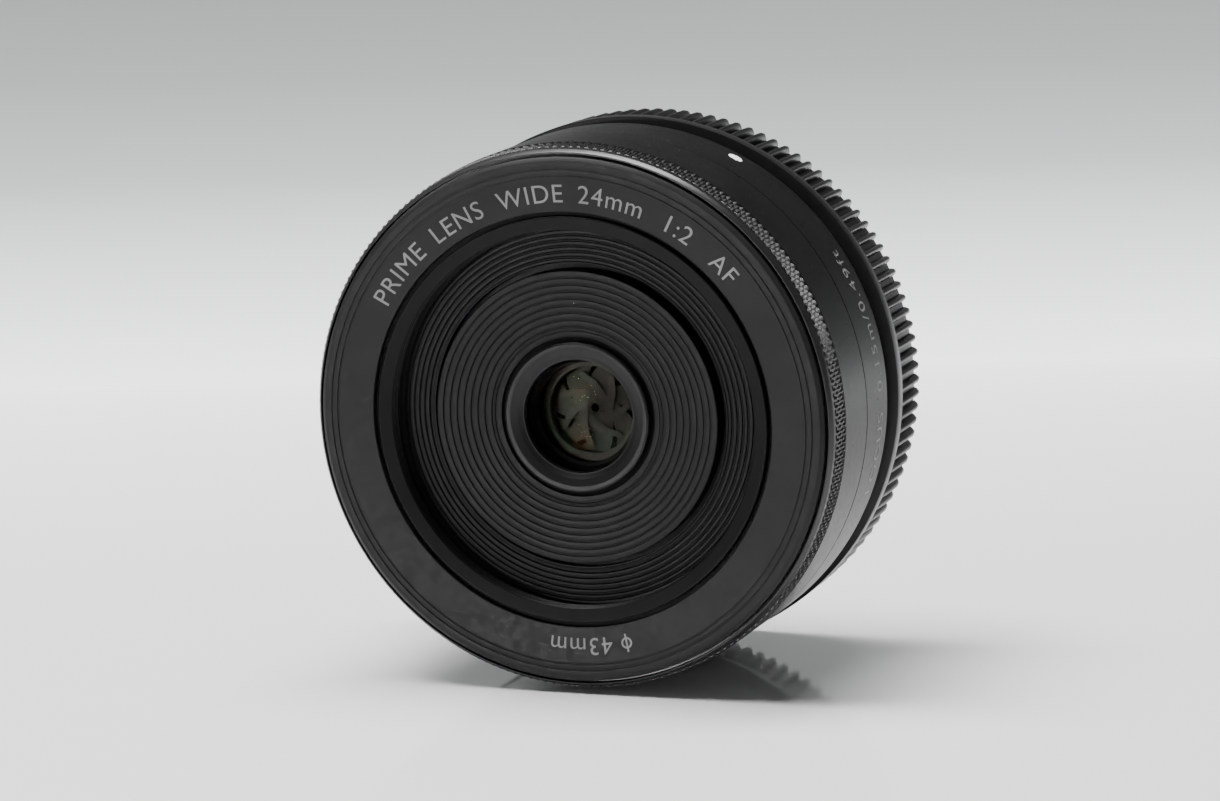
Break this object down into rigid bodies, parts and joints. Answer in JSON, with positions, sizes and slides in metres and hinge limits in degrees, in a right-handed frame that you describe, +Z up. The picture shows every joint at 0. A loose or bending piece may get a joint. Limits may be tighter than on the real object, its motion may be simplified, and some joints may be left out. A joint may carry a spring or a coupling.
{
  "type": "pancake prime camera lens",
  "caption": "Short autofocus prime lens on its side: knurled focus ring, ribbed front baffle, iris diaphragm, bayonet mount and ribbed rear cap.",
  "frame": {"origin": "centre of the mount flange face, on the optical axis", "axes": "-Y along the optical axis out of the front glass, +Y out of the mount and rear cap, +Z up as the lens lies on its side, +X to the right seen from the front"},
  "size_m": [0.0616, 0.0349, 0.0616],
  "materials": {
    "black_paint": "fine satin black paint",
    "ring_black": "satin black, knurled",
    "white_mark": "white index paint",
    "felt": "black flock",
    "spring_steel": "bright steel",
    "dark_plastic": "matte black moulding",
    "anodised": "dark anodised",
    "mount_metal": "plated metal, turned",
    "brass": "brass",
    "screw_steel": "blackened and plain steel",
    "board_green": "solder mask",
    "motor_can": "plated can",
    "scale_silver": "striped reflective strip",
    "gear_plastic": "natural acetal",
    "baffle_black": "matte black, ringed",
    "satin_grey": "satin dark grey",
    "optical_glass": "coated optical glass",
    "blade_black": "blackened steel leaf",
    "cap_black": "matte black moulding"
  },
  "bodies": {
    "barrel": {"name_ring": "black_paint", "fixed_barrel": "black_paint", "index_dot": "white_mark", "light_seal": "felt", "wave_washer": "spring_steel", "focus_sensors": "dark_plastic", "guide_tube": "anodised", "base_plate": "dark_plastic", "bayonet_mount": "mount_metal", "mount_shim": "brass", "mount_screws": "screw_steel", "contact_block": "dark_plastic", "contact_pins": "brass", "contact_screws": "screw_steel", "rear_baffle": "dark_plastic", "main_board": "board_green", "board_chips": "dark_plastic", "board_screws": "screw_steel", "gear_bracket": "anodised", "bracket_screws": "screw_steel", "gear_shafts": "spring_steel", "focus_motor": "motor_can"},
    "focus_ring": {"focus_ring": "ring_black", "focus_scale": "scale_silver"},
    "lens_unit": {"inner_barrel": "black_paint", "cam_followers": "spring_steel", "unit_base": "dark_plastic", "unit_screws": "screw_steel", "front_baffle": "baffle_black", "front_retainer": "satin_grey", "front_cell": "dark_plastic", "cell_screws": "screw_steel", "spacer_ring": "dark_plastic", "rear_cell": "dark_plastic", "rear_cell_screws": "screw_steel", "rear_retainer": "dark_plastic", "lens_1": "optical_glass", "lens_2": "optical_glass", "lens_3": "optical_glass", "lens_4": "optical_glass", "lens_5": "optical_glass", "lens_6": "optical_glass", "lens_7": "optical_glass", "iris_base": "dark_plastic", "iris_motor": "motor_can"},
    "cam_ring": {"cam_ring": "anodised"},
    "idler_gear": {"idler_gear": "brass"},
    "reduction_gear": {"reduction_gear": "gear_plastic"},
    "motor_pinion": {"motor_pinion": "brass"},
    "iris_ring": {"iris_ring": "blade_black"},
    "iris_gear": {"iris_gear": "gear_plastic"},
    "iris_blade_1": {"iris_blade_1": "blade_black"},
    "iris_blade_2": {"iris_blade_2": "blade_black"},
    "iris_blade_3": {"iris_blade_3": "blade_black"},
    "iris_blade_4": {"iris_blade_4": "blade_black"},
    "iris_blade_5": {"iris_blade_5": "blade_black"},
    "iris_blade_6": {"iris_blade_6": "blade_black"},
    "iris_blade_7": {"iris_blade_7": "blade_black"},
    "rear_cap": {"rear_cap": "cap_black"}
  },
  "joints": [
    {"name": "focus_ring_turn", "type": "hinge", "parent": "barrel", "child": "focus_ring", "pos_m": [0, -0.017, 0], "axis": [0, -1, 0], "continuous": true},
    {"name": "focus_travel", "type": "slide", "parent": "barrel", "child": "lens_unit", "axis": [0, -1, 0], "range_m": [0, 0.006]},
    {"name": "cam_turn", "type": "hinge", "parent": "barrel", "child": "cam_ring", "pos_m": [0, -0.01, 0], "axis": [0, -1, 0], "range_deg": [0, 60]},
    {"name": "idler_spin", "type": "hinge", "parent": "barrel", "child": "idler_gear", "pos_m": [-0.01559, -0.0035, 0.009], "axis": [0, -1, 0], "range_deg": [0, 276.02]},
    {"name": "reduction_spin", "type": "hinge", "parent": "barrel", "child": "reduction_gear", "pos_m": [-0.00967, -0.004, 0.01361], "axis": [0, -1, 0], "range_deg": [-552.02, 0]},
    {"name": "pinion_spin", "type": "hinge", "parent": "barrel", "child": "motor_pinion", "pos_m": [-0.00337, -0.005, 0.01666], "axis": [0, -1, 0], "range_deg": [0, 993.62]},
    {"name": "iris_turn", "type": "hinge", "parent": "lens_unit", "child": "iris_ring", "pos_m": [0, -0.0131, 0], "axis": [0, -1, 0], "range_deg": [-6.97, 0]},
    {"name": "iris_gear_spin", "type": "hinge", "parent": "lens_unit", "child": "iris_gear", "pos_m": [-0.00544, -0.0131, -0.01494], "axis": [0, -1, 0], "range_deg": [0, 19.43]},
    {"name": "iris_blade_1_swing", "type": "hinge", "parent": "lens_unit", "child": "iris_blade_1", "pos_m": [0.0072, -0.014, 0], "axis": [0, -1, 0], "range_deg": [-34.35, 0]},
    {"name": "iris_blade_2_swing", "type": "hinge", "parent": "lens_unit", "child": "iris_blade_2", "pos_m": [0.00449, -0.014, 0.00563], "axis": [0, -1, 0], "range_deg": [-34.35, 0]},
    {"name": "iris_blade_3_swing", "type": "hinge", "parent": "lens_unit", "child": "iris_blade_3", "pos_m": [-0.0016, -0.014, 0.00702], "axis": [0, -1, 0], "range_deg": [-34.35, 0]},
    {"name": "iris_blade_4_swing", "type": "hinge", "parent": "lens_unit", "child": "iris_blade_4", "pos_m": [-0.00649, -0.014, 0.00312], "axis": [0, -1, 0], "range_deg": [-34.35, 0]},
    {"name": "iris_blade_5_swing", "type": "hinge", "parent": "lens_unit", "child": "iris_blade_5", "pos_m": [-0.00649, -0.014, -0.00312], "axis": [0, -1, 0], "range_deg": [-34.35, 0]},
    {"name": "iris_blade_6_swing", "type": "hinge", "parent": "lens_unit", "child": "iris_blade_6", "pos_m": [-0.0016, -0.014, -0.00702], "axis": [0, -1, 0], "range_deg": [-34.35, 0]},
    {"name": "iris_blade_7_swing", "type": "hinge", "parent": "lens_unit", "child": "iris_blade_7", "pos_m": [0.00449, -0.014, -0.00563], "axis": [0, -1, 0], "range_deg": [-34.35, 0]},
    {"name": "cap_pull", "type": "slide", "parent": "barrel", "child": "rear_cap", "axis": [0, 1, 0], "range_m": [0, 0.025]}
  ],
  "couplings": [
    {"joint": "focus_travel", "follows": "cam_turn", "m_per_rad": 0.0057296},
    {"joint": "idler_spin", "follows": "cam_turn", "ratio": 4.6},
    {"joint": "reduction_spin", "follows": "cam_turn", "ratio": -9.2},
    {"joint": "pinion_spin", "follows": "cam_turn", "ratio": 16.56},
    {"joint": "iris_gear_spin", "follows": "iris_turn", "ratio": -2.7857},
    {"joint": "iris_blade_1_swing", "follows": "iris_turn", "ratio": 4.9278},
    {"joint": "iris_blade_2_swing", "follows": "iris_turn", "ratio": 4.9278},
    {"joint": "iris_blade_3_swing", "follows": "iris_turn", "ratio": 4.9278},
    {"joint": "iris_blade_4_swing", "follows": "iris_turn", "ratio": 4.9278},
    {"joint": "iris_blade_5_swing", "follows": "iris_turn", "ratio": 4.9278},
    {"joint": "iris_blade_6_swing", "follows": "iris_turn", "ratio": 4.9278},
    {"joint": "iris_blade_7_swing", "follows": "iris_turn", "ratio": 4.9278}
  ]
}
